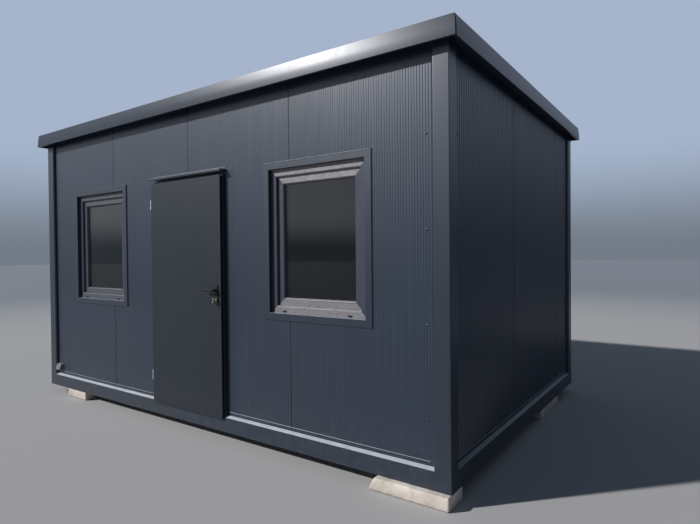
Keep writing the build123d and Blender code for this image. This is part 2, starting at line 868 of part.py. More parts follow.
# Power inlet box, low on the front wall beside the left post
inlet_x = -half_length + post_size + inlet_from_post + inlet_width / 2
inlet_bottom = base_bottom + inlet_rise
inlet_top = inlet_bottom + inlet_height
inlet_front = panel_recess - inlet_depth + lid_thickness
slope_top = (inlet_front + inlet_slope, inlet_top - inlet_margin)
slope_bottom = (inlet_front, inlet_bottom + inlet_margin)
slope_run = slope_top[0] - slope_bottom[0]
slope_rise = slope_top[1] - slope_bottom[1]
lid_plane = Plane(
    (inlet_x, front + (slope_top[0] + slope_bottom[0]) / 2, (slope_top[1] + slope_bottom[1]) / 2),
    x_dir=(1, 0, 0),
    z_dir=(0, -slope_rise, slope_run),
)
housing_width = inlet_width - 2 * inlet_margin
with BuildPart() as inlet:
    with BuildSketch(upright(panel_front)):
        with Locations((inlet_x, (inlet_bottom + inlet_top) / 2)):
            RectangleRounded(inlet_width, inlet_height, inlet_corner)
    extrude(amount=inlet_flange)
    with BuildSketch(sides["front"].offset(inlet_x)):
        outline([
            (panel_recess - inlet_flange, slope_bottom[1]),
            slope_bottom,
            slope_top,
            (panel_recess - inlet_flange, slope_top[1]),
        ])
    extrude(amount=housing_width / 2, both=True)
    with BuildSketch(lid_plane):
        RectangleRounded(
            housing_width + 2 * lid_overlap,
            hypot(slope_run, slope_rise) + 2 * lid_overlap,
            lid_corner,
        )
    extrude(amount=lid_thickness)
    with BuildSketch(sides["front"].offset(inlet_x)):
        with Locations(slope_top):
            Circle(lid_barrel_radius)
    extrude(amount=lid_barrel_length / 2, both=True)
save(inlet.part, "power_inlet")
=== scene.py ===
# %% [markdown]
# # A portable site cabin, dressed for its picture
#
# The construction model already has the cabin's real shape: a steel frame on concrete blocks,
# sandwich panels, a folded fascia, two windows and a door. This lesson adds what the eye sees on
# it: ribbed sheet, softened edges, screws, seals, painted and weathered finishes, light and a
# camera. Everything is in metres. X runs along the front wall, the front faces -Y and Z is up.

# %% Load the construction model
import json
import math
from collections import namedtuple

import bpy
from mathutils import Matrix, Vector

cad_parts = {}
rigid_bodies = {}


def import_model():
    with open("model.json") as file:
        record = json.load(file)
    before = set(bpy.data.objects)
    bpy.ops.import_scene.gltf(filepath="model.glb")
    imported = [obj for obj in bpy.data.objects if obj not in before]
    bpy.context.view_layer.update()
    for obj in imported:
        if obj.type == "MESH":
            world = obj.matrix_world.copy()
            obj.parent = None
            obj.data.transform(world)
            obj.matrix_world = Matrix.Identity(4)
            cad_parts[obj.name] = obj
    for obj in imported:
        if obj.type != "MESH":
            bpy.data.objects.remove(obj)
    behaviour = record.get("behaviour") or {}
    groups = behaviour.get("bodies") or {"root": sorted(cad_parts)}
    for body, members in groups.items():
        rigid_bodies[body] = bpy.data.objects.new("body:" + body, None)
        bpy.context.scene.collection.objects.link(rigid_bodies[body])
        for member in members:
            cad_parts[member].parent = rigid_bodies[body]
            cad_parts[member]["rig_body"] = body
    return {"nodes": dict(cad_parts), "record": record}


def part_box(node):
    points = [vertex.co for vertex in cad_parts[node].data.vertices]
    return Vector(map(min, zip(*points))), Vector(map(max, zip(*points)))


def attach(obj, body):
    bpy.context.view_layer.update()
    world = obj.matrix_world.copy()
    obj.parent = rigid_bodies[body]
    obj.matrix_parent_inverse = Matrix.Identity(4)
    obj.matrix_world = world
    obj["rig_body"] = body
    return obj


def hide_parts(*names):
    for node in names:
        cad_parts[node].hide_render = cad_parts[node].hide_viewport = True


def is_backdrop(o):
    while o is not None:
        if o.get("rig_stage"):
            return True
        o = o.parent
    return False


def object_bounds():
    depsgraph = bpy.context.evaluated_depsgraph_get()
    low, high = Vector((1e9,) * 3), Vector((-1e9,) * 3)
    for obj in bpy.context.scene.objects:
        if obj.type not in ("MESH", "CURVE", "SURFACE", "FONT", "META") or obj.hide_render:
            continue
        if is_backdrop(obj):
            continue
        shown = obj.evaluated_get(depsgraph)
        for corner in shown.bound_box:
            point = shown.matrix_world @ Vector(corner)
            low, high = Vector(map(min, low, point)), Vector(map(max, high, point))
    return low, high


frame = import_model()
nodes = frame["nodes"]
slot_of = {row["node"]: row["material_slot"] for row in frame["record"]["subparts"]}
body_of = {row_name: node["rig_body"] for row_name, node in nodes.items()}
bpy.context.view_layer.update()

# %% [markdown]
# ## The measures that everything else is worked out from
#
# A maker reads sizes off the model and doesn't type them twice. The near corner post, the base
# beam and the front panels give the outline of the cabin, so if the model changes, the added
# pieces move with it.

# %% Read the driving measures
post_low, post_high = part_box("front_right_post")
panel_low, panel_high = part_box("front_panel_4")
rail_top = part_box("front_drip_rail")[1].z
base_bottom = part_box("front_base_beam")[0].z
half_length = post_high.x
half_width = -post_low.y
recess = panel_low.y + half_width
panel_thickness = panel_high.y - panel_low.y
wall_low, wall_high = rail_top, panel_high.z
print("half length", round(half_length, 3), "half width", round(half_width, 3), "recess", round(recess, 3))

# %% [markdown]
# ## The camera
#
# The picture was taken at eye height in front of the near corner, looking along both walls. The
# position comes from matching the cabin's corners, so it is given from that corner. The three
# directions of the camera, right, up and back, are the columns of its matrix.

# %% Stand the camera where the picture was taken
image_width = 700
focal_pixels = 512.2
sensor_width = 36
from_corner = Vector((1.277, -2.872, 1.557))
eye = Vector((half_length, -half_width, 0)) + from_corner
yaw, pitch, roll = (math.radians(angle) for angle in (35.03, -0.81, -0.51))
ahead = Vector((-math.sin(yaw) * math.cos(pitch), math.cos(yaw) * math.cos(pitch), math.sin(pitch)))
level = Vector((math.cos(yaw), math.sin(yaw), 0))
upward = level.cross(ahead)
right = level * math.cos(roll) + upward * math.sin(roll)
top = upward * math.cos(roll) - level * math.sin(roll)

bpy.ops.object.camera_add(location=eye)
camera = bpy.context.object
camera.matrix_world = Matrix.Translation(eye) @ Matrix((right, top, -ahead)).transposed().to_4x4()
camera.data.sensor_width = sensor_width
camera.data.lens = sensor_width * focal_pixels / image_width
camera.data.clip_end = 500
bpy.context.scene.camera = camera
print("camera height", round(eye.z, 2), "lens", round(camera.data.lens, 1))

# %% [markdown]
# ## Shader nodes in code
#
# A material is a small network. `add` makes one node, sets its constants and links what comes
# from other nodes, so that each network below reads from top to bottom. `new_group` makes a
# reusable network with named inputs and outputs, and `use` puts one into a material.

# %% Helpers for nodes and groups
def add(tree, kind, inputs=None, **settings):
    made = tree.nodes.new(kind)
    for key, value in settings.items():
        setattr(made, key, value)
    for key, value in (inputs or {}).items():
        if isinstance(value, bpy.types.NodeSocket):
            tree.links.new(value, made.inputs[key])
        else:
            made.inputs[key].default_value = value
    return made


def new_group(name, inputs, outputs):
    tree = bpy.data.node_groups.new(name, "ShaderNodeTree")
    for label, kind in inputs.items():
        tree.interface.new_socket(name=label, in_out="INPUT", socket_type=kind)
    for label, kind in outputs.items():
        tree.interface.new_socket(name=label, in_out="OUTPUT", socket_type=kind)
    return tree, tree.nodes.new("NodeGroupInput").outputs, tree.nodes.new("NodeGroupOutput")


def use(tree, group, **inputs):
    made = tree.nodes.new("ShaderNodeGroup")
    made.node_tree = group
    for label, value in inputs.items():
        made.inputs[label.replace("_", " ")].default_value = value
    return made.outputs


FLOAT, COLOUR, VECTOR = "NodeSocketFloat", "NodeSocketColor", "NodeSocketVector"
print("group sockets:", FLOAT, COLOUR, VECTOR)

# %% [markdown]
# The nodes that come back again and again get a short name each: the place of a point, one axis
# of it, a sum, a change of range, a mix and a noise. Each returns its output, ready to be linked.

# %% Short names for the common nodes
def place(tree):
    """The place of a point on the cabin, in metres."""
    return add(tree, "ShaderNodeTexCoord").outputs["Object"]


def facing(tree):
    return add(tree, "ShaderNodeNewGeometry").outputs["Normal"]


def axis_of(tree, vector, axis):
    return add(tree, "ShaderNodeSeparateXYZ", {0: vector}).outputs[axis]


def maths(tree, operation, *terms):
    return add(tree, "ShaderNodeMath", dict(enumerate(terms)), operation=operation).outputs[0]


def times(tree, product, *factors):
    for factor in factors:
        product = maths(tree, "MULTIPLY", product, factor)
    return product


def apart(tree, value, middle):
    return maths(tree, "ABSOLUTE", maths(tree, "SUBTRACT", value, middle))


def scaled(tree, vector, factor):
    return add(tree, "ShaderNodeVectorMath", {0: vector, "Scale": factor}, operation="SCALE").outputs[0]


def stretched(tree, vector, factors):
    return add(tree, "ShaderNodeVectorMath", {0: vector, 1: factors}, operation="MULTIPLY").outputs[0]


def remap(tree, value, low, high, new_low=0.0, new_high=1.0):
    names = ("From Min", "From Max", "To Min", "To Max")
    inputs = dict(zip(names, (low, high, new_low, new_high)))
    return add(tree, "ShaderNodeMapRange", {"Value": value, **inputs}).outputs[0]


def smooth_step(tree, value, start, end):
    """0 at the start, 1 at the end, with a soft change between them."""
    inputs = {"Value": value, "From Min": start, "From Max": end}
    return add(tree, "ShaderNodeMapRange", inputs, interpolation_type="SMOOTHSTEP").outputs[0]


def blended(tree, share, first, second):
    return add(tree, "ShaderNodeMix", {0: share, 2: first, 3: second}, data_type="FLOAT").outputs[0]


def mixed(tree, share, first, second):
    return add(tree, "ShaderNodeMix", {0: share, 6: first, 7: second}, data_type="RGBA").outputs[2]


def noise(tree, vector, scale, detail, **more):
    inputs = {"Vector": vector, "Scale": scale, "Detail": detail, **more}
    return add(tree, "ShaderNodeTexNoise", inputs).outputs[0]


def cells(tree, scale):
    return add(tree, "ShaderNodeTexVoronoi", {"Vector": place(tree), "Scale": scale}).outputs


noise_ends = (0.3, 0.7)
print("most of a noise lies between", *noise_ends)

# %% [markdown]
# ## Effects that several finishes share
#
# Paint on sheet steel is never one flat tone: it has slow clouds where the sun and rain have
# reached it more. A group multiplies the colour by a large soft noise and a fine one.

# %% Group: cloudy tone
cloudy_tone, given, result = new_group(
    "Cloudy tone", {"Colour": COLOUR, "Amount": FLOAT, "Scale": FLOAT}, {"Colour": COLOUR}
)
slow = noise(cloudy_tone, place(cloudy_tone), scale=given["Scale"], detail=3.0)
fine = noise(cloudy_tone, place(cloudy_tone), scale=160.0, detail=2.0)
swing = remap(cloudy_tone, slow, *noise_ends, new_low=-1.0, new_high=1.0)
speck = remap(cloudy_tone, fine, *noise_ends, new_low=-0.3, new_high=0.3)
both = maths(cloudy_tone, "ADD", swing, speck)
shade = maths(cloudy_tone, "MULTIPLY_ADD", both, given["Amount"], 1.0)
cloudy_tone.links.new(scaled(cloudy_tone, given["Colour"], shade), result.inputs["Colour"])
print("group:", cloudy_tone.name)

# %% [markdown]
# Rain throws grit up from the ground on to the lowest part of every wall. The mask is 1 at the
# bottom edge and fades with height, broken up by noise so that no line shows where it ends.

# %% Group: splashed dirt
splashed_dirt, given, result = new_group(
    "Splashed dirt", {"Bottom": FLOAT, "Reach": FLOAT, "Amount": FLOAT}, {"Mask": FLOAT}
)
height = axis_of(splashed_dirt, place(splashed_dirt), "Z")
above = maths(splashed_dirt, "SUBTRACT", height, given["Bottom"])
share = maths(splashed_dirt, "DIVIDE", above, given["Reach"])
fade = remap(splashed_dirt, share, low=0.0, high=1.0, new_low=1.0, new_high=0.0)
grit = noise(splashed_dirt, place(splashed_dirt), scale=14.0, detail=6.0)
broken = remap(splashed_dirt, grit, low=0.38, high=0.68, new_low=0.1)
mask = times(splashed_dirt, fade, broken, given["Amount"])
splashed_dirt.links.new(mask, result.inputs["Mask"])
print("group:", splashed_dirt.name)

# %% [markdown]
# Water that runs off an edge leaves faint vertical streaks. Noise that is stretched along Z gives
# their shape: it changes every few centimetres across the wall and hardly at all down it.

# %% Group: rain streaks
rain_streaks, given, result = new_group("Rain streaks", {"Amount": FLOAT, "Density": FLOAT}, {"Mask": FLOAT})
drawn_down = stretched(rain_streaks, place(rain_streaks), (26.0, 26.0, 0.7))
runs = noise(rain_streaks, drawn_down, scale=given["Density"], detail=4.0)
mask = times(rain_streaks, remap(rain_streaks, runs, low=0.5, high=0.75), given["Amount"])
rain_streaks.links.new(mask, result.inputs["Mask"])
print("group:", rain_streaks.name)

# %% [markdown]
# Dust settles on whatever looks up: ledges, the tops of trims and caps. It is pale and dry. The same pale
# mask also paints a highlight: in the sun a ledge 10 mm wide reads as a bright line, and that line is
# painted into the colour here. The mask asks how far a face points up.

# %% Group: settled dust and painted highlight
settled_dust_and_sheen, given, result = new_group("Settled dust", {"Amount": FLOAT}, {"Mask": FLOAT})
upwards = axis_of(settled_dust_and_sheen, facing(settled_dust_and_sheen), "Z")
lying = remap(settled_dust_and_sheen, upwards, low=0.45, high=0.9)
drift = noise(settled_dust_and_sheen, place(settled_dust_and_sheen), scale=9.0, detail=5.0)
patchy = remap(settled_dust_and_sheen, drift, *noise_ends, new_low=0.75)
mask = times(settled_dust_and_sheen, lying, patchy, given["Amount"])
settled_dust_and_sheen.links.new(mask, result.inputs["Mask"])
print("group:", settled_dust_and_sheen.name)

# %% [markdown]
# Sprayed and coil-coated paint has a slight orange peel, and moulded plastic a fine grain. Both
# are a small noise that only the Bump node reads, at a scale of a few millimetres or less.

# %% Group: surface grain
surface_grain, given, result = new_group(
    "Surface grain", {"Scale": FLOAT, "Stretch": VECTOR}, {"Height": FLOAT}
)
drawn = stretched(surface_grain, place(surface_grain), given["Stretch"])
pebble = noise(surface_grain, drawn, scale=given["Scale"], detail=2.0)
surface_grain.links.new(pebble, result.inputs["Height"])
print("group:", surface_grain.name)

# %% [markdown]
# ## Painted steel
#
# Posts, beams, fascia, wall sheet and door carry the same anthracite in different batches and
# gloss. One function builds the network, and each material gets its own colour, gloss and dirt.
# Splashes and streaks mix in as a dull grey. Faces that look up take a pale tone, which is settled dust and
# also a painted highlight for sunlit ledges. Both are rougher than the paint. Gloss is a constant of the
# shader, so it is set on its own socket.

# %% Helpers for materials
dust_colour = (0.07, 0.072, 0.075, 1.0)
# The pale tone on faces that look up: dust, and a painted highlight for sunlit ledges.
dust_and_sheen_colour = (0.5, 0.52, 0.55, 1.0)
dusty_roughness = 0.8
splash_reach = 0.45
cloud_scale = 1.3
peel_scale, peel_strength, peel_depth = 220.0, 0.1, 0.0006


def new_material(name, roughness, metallic=0.0, gloss=0.5):
    material = bpy.data.materials.new(name)
    material.use_nodes = True
    surface = material.node_tree.nodes["Principled BSDF"]
    surface.inputs["Roughness"].default_value = roughness
    surface.inputs["Metallic"].default_value = metallic
    surface.inputs["Specular IOR Level"].default_value = gloss
    return material, material.node_tree, surface


def opened(material):
    """The node tree of a painted material, its shader and the colour that reaches the shader."""
    surface = material.node_tree.nodes["Principled BSDF"]
    return material.node_tree, surface, surface.inputs["Base Color"].links[0].from_socket


def bump(tree, surface, height, strength, distance):
    made = add(tree, "ShaderNodeBump", {"Height": height, "Strength": strength, "Distance": distance})
    tree.links.new(made.outputs[0], surface.inputs["Normal"])


def painted(name, colour, roughness, gloss, clouds=0.1, dirt=0.3, streaks=0.05, dust_and_sheen=0.9):
    material, tree, surface = new_material(name, roughness, gloss=gloss)
    tone = use(tree, cloudy_tone, Colour=(*colour, 1.0), Amount=clouds, Scale=cloud_scale)["Colour"]
    low = use(tree, splashed_dirt, Bottom=base_bottom, Reach=splash_reach, Amount=dirt)["Mask"]
    runs = use(tree, rain_streaks, Amount=streaks, Density=1.0)["Mask"]
    soil = maths(tree, "MAXIMUM", low, runs)
    # Painted highlight and dust: faces that look up turn pale.
    dust_and_sheen_mask = use(tree, settled_dust_and_sheen, Amount=dust_and_sheen)["Mask"]
    soiled = mixed(tree, soil, tone, dust_colour)
    tree.links.new(mixed(tree, dust_and_sheen_mask, soiled, dust_and_sheen_colour), surface.inputs["Base Color"])
    either = maths(tree, "MAXIMUM", soil, dust_and_sheen_mask)
    tree.links.new(remap(tree, either, 0.0, 1.0, roughness, dusty_roughness), surface.inputs["Roughness"])
    grain = use(tree, surface_grain, Scale=peel_scale, Stretch=(1, 1, 1))["Height"]
    bump(tree, surface, grain, peel_strength, peel_depth)
    return material


print("dust:", dust_colour, "on ledges:", dust_and_sheen_colour)

# %% [markdown]
# The drip rail along the front takes the strongest pale mask on its ledge: dust, and a painted highlight for
# the sunlit ledge. The other three get almost none, and a darker, duller paint: painted shade for rails that
# lie out of the sun.

# %% Build the painted finishes
frame_paint = painted(
    "Frame paint", (0.016, 0.026, 0.042), roughness=0.34, gloss=0.64, dirt=0.2, dust_and_sheen=0.55
)
front_rail_paint_with_sheen = painted(
    "Dusty rail paint", (0.018, 0.027, 0.04), roughness=0.34, gloss=0.6, dust_and_sheen=1.0
)
shaded_rail_paint = painted(
    "Sheltered rail paint", (0.012, 0.02, 0.034), roughness=0.4, gloss=0.4, dust_and_sheen=0.06
)
fascia_paint = painted(
    "Fascia paint", (0.025, 0.034, 0.049), roughness=0.31, gloss=0.24, dirt=0.0, dust_and_sheen=0.5
)
door_paint = painted(
    "Door paint", (0.015, 0.0205, 0.029), roughness=0.4, gloss=0.34, clouds=0.05, dirt=0.2
)
finishes = {"steel_frame": frame_paint, "fascia": fascia_paint, "door": door_paint}
print("painted:", sorted(finishes))

# %% [markdown]
# Where two sides of the fascia meet, the corner shows a dark line of shade. That shade is painted: a matt,
# nearly black stripe in the paint, near the end of a side fascia, and only on faces that look along X.

# %% Painted shade at the fascia's corners
corner_shade_width = 0.02
corner_shade_colour = (0.001, 0.003, 0.012, 1.0)
corner_shade_roughness = 0.9
side_facing = 0.7

tree, surface, paint_tone = opened(fascia_paint)
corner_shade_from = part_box("right_fascia")[1].y - corner_shade_width
out_along = maths(tree, "ABSOLUTE", axis_of(tree, place(tree), "Y"))
at_corner = maths(tree, "GREATER_THAN", out_along, corner_shade_from)
turned = maths(tree, "ABSOLUTE", axis_of(tree, facing(tree), "X"))
on_end = maths(tree, "GREATER_THAN", turned, side_facing)
joint = times(tree, at_corner, on_end)
# Painted shade: a matt, nearly black stripe where the corner shows a dark line.
tree.links.new(mixed(tree, joint, paint_tone, corner_shade_colour), surface.inputs["Base Color"])
paint_roughness = surface.inputs["Roughness"].links[0].from_socket
tree.links.new(blended(tree, joint, paint_roughness, corner_shade_roughness), surface.inputs["Roughness"])
print("joint from", round(corner_shade_from, 3))

# %% [markdown]
# A sandwich panel is anthracite outside and off-white inside. Both faces belong to one node, so
# the network asks where a point is: nearer the room than the panel's outer face, it is inside.
# The roof panels are grey above and off-white below in the same way.

# %% Two-sided wall panel and roof panel
liner_white = (0.62, 0.62, 0.59, 1.0)
skin_margin = 0.002


def inside_mask(tree):
    """1 on the faces that look into the room, 0 outside."""
    spot = place(tree)
    shares = []
    for axis, reach in (("X", half_length), ("Y", half_width)):
        away = maths(tree, "ABSOLUTE", axis_of(tree, spot, axis))
        limit = reach - recess - panel_thickness + skin_margin
        shares.append(maths(tree, "LESS_THAN", away, limit))
    return times(tree, *shares)


wall_coating = painted(
    "Wall panel coating", (0.014, 0.026, 0.046), roughness=0.32, gloss=0.76, clouds=0.08
)
tree, surface, outside = opened(wall_coating)
tree.links.new(mixed(tree, inside_mask(tree), outside, liner_white), surface.inputs["Base Color"])
finishes["wall_panel"] = wall_coating

roof_coating = painted(
    "Roof sheet coating", (0.33, 0.34, 0.35), roughness=0.45, gloss=0.5, clouds=0.15, dirt=0.0, streaks=0.2
)
tree, surface, outside = opened(roof_coating)
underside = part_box("roof_panels")[0].z + skin_margin
below = maths(tree, "LESS_THAN", axis_of(tree, place(tree), "Z"), underside)
tree.links.new(mixed(tree, below, outside, liner_white), surface.inputs["Base Color"])
finishes["roof_sheet"] = roof_coating
print("panels:", wall_coating.name, roof_coating.name)

# %% [markdown]
# ## Window foil
#
# The plastic window members are wrapped in a dark foil that is embossed with fine lines, always along the
# member. Lines that run sideways catch the high light and lines that run upwards don't, so the rails look
# paler than the stiles, most of all on the right window. That sheen is painted into the colour: the rails
# are paler than the stiles, the right window's rails are the palest, and the crests of the lines take a pale
# painted highlight.
# The mask finds the nearer window's centre and asks whether a point is further out sideways or
# upwards: that is the mitre.

# %% Mask for rails and stiles
left_low, left_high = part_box("left_window_frame")
right_low, right_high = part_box("right_window_frame")
window_middles = ((left_low.x + left_high.x) / 2, (right_low.x + right_high.x) / 2)
between = sum(window_middles) / 2
spread = (window_middles[1] - window_middles[0]) / 2
window_half = (right_high - right_low) / 2
window_z = (right_low.z + right_high.z) / 2

foil, tree, surface = new_material("Window foil", roughness=0.38)
along_wall = axis_of(tree, place(tree), "X")
sideways = apart(tree, apart(tree, along_wall, between), spread)
rise = apart(tree, axis_of(tree, place(tree), "Z"), window_z)
past_side = maths(tree, "SUBTRACT", sideways, window_half.x - window_half.z)
on_rail = maths(tree, "GREATER_THAN", rise, past_side)
on_right = maths(tree, "GREATER_THAN", along_wall, between)
print("window centres", [round(x, 3) for x in window_middles])

# %% Foil with its grain along each member and painted sheen on the rails
line_scale, length_scale = 700, 18
stile_colour = (0.04, 0.047, 0.068, 1.0)
right_rail_sheen_colour = (0.2, 0.19, 0.195, 1.0)
left_rail_sheen_colour = (0.075, 0.078, 0.09, 1.0)
crest_sheen_colour = (0.4, 0.39, 0.39, 1.0)
faint_crest_sheen, right_rail_crest_sheen = 0.04, 0.3

along_rail = use(tree, surface_grain, Scale=1.0, Stretch=(length_scale, length_scale, line_scale))["Height"]
along_stile = use(tree, surface_grain, Scale=1.0, Stretch=(line_scale, length_scale, length_scale))["Height"]
emboss = blended(tree, on_rail, along_stile, along_rail)
bump(tree, surface, emboss, strength=0.9, distance=0.0012)
stile_tone = use(tree, cloudy_tone, Colour=stile_colour, Amount=0.1, Scale=30.0)["Colour"]
# Painted sheen: paler rails, the palest on the right window.
right_rail_sheen = use(tree, cloudy_tone, Colour=right_rail_sheen_colour, Amount=0.22, Scale=60.0)["Colour"]
left_rail_sheen = use(tree, cloudy_tone, Colour=left_rail_sheen_colour, Amount=0.15, Scale=60.0)["Colour"]
member_tone = mixed(tree, on_rail, stile_tone, mixed(tree, on_right, left_rail_sheen, right_rail_sheen))
# Painted highlight on the crests of the lines, strongest on the right window's rails.
crest_sheen_share = blended(tree, times(tree, on_rail, on_right), faint_crest_sheen, right_rail_crest_sheen)
crest_sheen = times(tree, remap(tree, emboss, low=0.45, high=0.7), crest_sheen_share)
tree.links.new(mixed(tree, crest_sheen, member_tone, crest_sheen_colour), surface.inputs["Base Color"])
finishes["window_profile"] = foil
print("foil:", foil.name)

# %% [markdown]
# ## Glass
#
# Double glazing is clear, a little green at its edge, and it mirrors the sky. A Principled
# surface with full transmission does all of that, and a faint dust film dulls it near the bottom.

# %% Double glazing
glazing, tree, surface = new_material("Double glazing", roughness=0.015)
surface.inputs["Base Color"].default_value = (0.5, 0.54, 0.55, 1.0)
surface.inputs["Transmission Weight"].default_value = 1.0
surface.inputs["IOR"].default_value = 1.5
clean_roughness, filmed_roughness = 0.01, 0.12
film = use(tree, splashed_dirt, Bottom=right_low.z, Reach=0.5, Amount=0.4)["Mask"]
film_roughness = remap(tree, film, 0.0, 1.0, clean_roughness, filmed_roughness)
tree.links.new(film_roughness, surface.inputs["Roughness"])
finishes["glass"] = glazing
print("glass from", round(right_low.z, 3))

# %% [markdown]
# ## Concrete
#
# The blocks under the corners are cast concrete: pale, with darker damp patches, sand grains and small air
# holes, whose darker colour is painted shade in the pits. Noise at three scales gives the tone, and a cell
# pattern gives the holes.

# %% Cast concrete
dark_cast = (0.56, 0.49, 0.41, 1.0)
pale_cast = (0.86, 0.77, 0.66, 1.0)
sand_colour = (0.4, 0.36, 0.32, 1.0)
hole_shade_colour = (0.36, 0.32, 0.28, 1.0)
damp_colour = (0.2, 0.18, 0.155, 1.0)

concrete, tree, surface = new_material("Cast concrete", roughness=0.9)
patches = noise(tree, place(tree), scale=7.0, detail=8.0, Roughness=0.62)
sand = noise(tree, place(tree), scale=420.0, detail=2.0)
hole = remap(tree, cells(tree, scale=55.0)["Distance"], low=0.06, high=0.16)
tone = mixed(tree, remap(tree, patches, low=0.35, high=0.65), dark_cast, pale_cast)
grains = mixed(tree, remap(tree, sand, low=0.4, high=0.7, new_high=0.25), tone, sand_colour)
# Painted shade: the air holes are darker than the face.
pitted = mixed(tree, hole, hole_shade_colour, grains)
damp = use(tree, splashed_dirt, Bottom=0.0, Reach=0.07, Amount=0.75)["Mask"]
tree.links.new(mixed(tree, damp, pitted, damp_colour), surface.inputs["Base Color"])
bump(tree, surface, maths(tree, "ADD", hole, sand), strength=0.5, distance=0.002)
finishes["concrete"] = concrete
print("material:", concrete.name)

# %% [markdown]
# ## Bare and plated metal
#
# Hot-dip zinc grows crystals a centimetre or two across, each with its own brightness. The same
# cell pattern, made small and faint, does for nickel and brass, which are only finely scratched.

# %% Group and materials: metal crystals
crystals, given, result = new_group(
    "Metal crystals",
    {"Colour": COLOUR, "Scale": FLOAT, "Contrast": FLOAT},
    {"Colour": COLOUR, "Sheen": FLOAT},
)
tint = axis_of(crystals, cells(crystals, given["Scale"])["Color"], "X")
centred = maths(crystals, "SUBTRACT", tint, 0.5)
shade = maths(crystals, "MULTIPLY_ADD", centred, given["Contrast"], 1.0)
crystals.links.new(scaled(crystals, given["Colour"], shade), result.inputs["Colour"])
crystals.links.new(shade, result.inputs["Sheen"])

sheen_ends = (0.7, 1.3)
sheen_spread = 0.1


def plated(name, colour, roughness, scale, contrast):
    material, tree, surface = new_material(name, roughness, metallic=0.9)
    grown = use(tree, crystals, Colour=(*colour, 1.0), Scale=scale, Contrast=contrast)
    tree.links.new(grown["Colour"], surface.inputs["Base Color"])
    polish = remap(tree, grown["Sheen"], *sheen_ends, roughness - sheen_spread, roughness + sheen_spread)
    tree.links.new(polish, surface.inputs["Roughness"])
    scratch = use(tree, surface_grain, Scale=1.0, Stretch=(60, 60, 900))["Height"]
    bump(tree, surface, scratch, strength=0.15, distance=0.0004)
    return material


zinc = plated("Zinc plating", (0.56, 0.57, 0.58), roughness=0.42, scale=160.0, contrast=0.4)
thick_zinc = plated("Hot-dip zinc", (0.46, 0.47, 0.48), roughness=0.5, scale=70.0, contrast=0.5)
nickel = plated("Nickel plating", (0.6, 0.56, 0.5), roughness=0.32, scale=900.0, contrast=0.2)
brass = plated("Worn brass", (0.62, 0.46, 0.24), roughness=0.36, scale=900.0, contrast=0.3)
finishes.update(galvanised=zinc, joist_steel=thick_zinc, lock_steel=nickel, key_brass=brass)
print("metals share:", crystals.name)

# %% [markdown]
# ## Plastic, boards and white trim
#
# Moulded plastic has a tight grain and picks up a little dust. The floor is chipboard under a
# brown film, with its printed flakes. The window handles and ceiling trim are plain white.

# %% Moulded plastic
def moulded(name, colour, roughness, grain, gloss=0.5):
    material, tree, surface = new_material(name, roughness, gloss=gloss)
    tone = use(tree, cloudy_tone, Colour=(*colour, 1.0), Amount=0.12, Scale=24.0)["Colour"]
    dust = use(tree, rain_streaks, Amount=0.18, Density=2.0)["Mask"]
    tree.links.new(mixed(tree, dust, tone, dust_colour), surface.inputs["Base Color"])
    pebbles = use(tree, surface_grain, Scale=grain, Stretch=(1, 1, 1))["Height"]
    bump(tree, surface, pebbles, strength=0.25, distance=0.0004)
    return material


nylon = moulded("Black nylon", (0.006, 0.006, 0.008), roughness=0.5, grain=900.0, gloss=0.25)
pale_plastic = moulded("Pale grey plastic", (0.15, 0.155, 0.17), roughness=0.45, grain=700.0)
white = moulded("White coating", (0.66, 0.66, 0.65), roughness=0.4, grain=500.0)
# Black rubber for the glazing seals, and for painted shade in the panel joints and beside the sashes.
rubber_and_shade = moulded("Sealing rubber", (0.006, 0.006, 0.006), roughness=0.7, grain=600.0, gloss=0.3)
finishes.update(black_plastic=nylon, inlet_plastic=pale_plastic, interior_trim=white)
print("moulded, with", rubber_and_shade.name)

# %% Floor board
dark_board, pale_board = (0.12, 0.075, 0.045, 1.0), (0.24, 0.16, 0.1, 1.0)
board, tree, surface = new_material("Film-faced board", roughness=0.55)
flake = axis_of(tree, cells(tree, scale=90.0)["Color"], "X")
tone = mixed(tree, remap(tree, flake, low=0.0, high=1.0, new_high=0.6), dark_board, pale_board)
worn = use(tree, rain_streaks, Amount=0.2, Density=0.5)["Mask"]
tree.links.new(mixed(tree, worn, tone, dust_colour), surface.inputs["Base Color"])
bump(tree, surface, flake, strength=0.1, distance=0.0005)
finishes["floor_board"] = board
print("finishes:", len(finishes))

# %% Give every construction node its finish
def coat(piece, material):
    if not piece.material_slots:
        piece.data.materials.append(material)
    for entry in piece.material_slots:
        entry.material = material


finish_of = {name: finishes[slot_of[name]] for name in nodes}
# The front rail carries the painted highlight, and the other three carry the painted shade.
finish_of["front_drip_rail"] = front_rail_paint_with_sheen
for side in ("rear", "left", "right"):
    finish_of[f"{side}_drip_rail"] = shaded_rail_paint
for name, node in nodes.items():
    coat(node, finish_of[name])
print("coated nodes:", len(nodes))

# %% [markdown]
# ## Modelling helpers
#
# An operator works on whatever is selected, so every piece starts with nothing selected.
# `pick` chooses vertices or faces by their place, as a modeller would box-select them, or faces
# that look square on along an axis. `settle` bakes the object's place into its mesh and lets the
# piece ride on its part of the cabin.

# %% Helpers for selecting, shaping and joining
square_on = 0.9


def clear_selection():
    if bpy.context.object and bpy.context.object.mode != "OBJECT":
        bpy.ops.object.mode_set(mode="OBJECT")
    bpy.ops.object.select_all(action="DESELECT")


def make_active(piece):
    clear_selection()
    piece.select_set(True)
    bpy.context.view_layer.objects.active = piece


def bake_place():
    bpy.ops.object.transform_apply(location=True, rotation=True, scale=True)


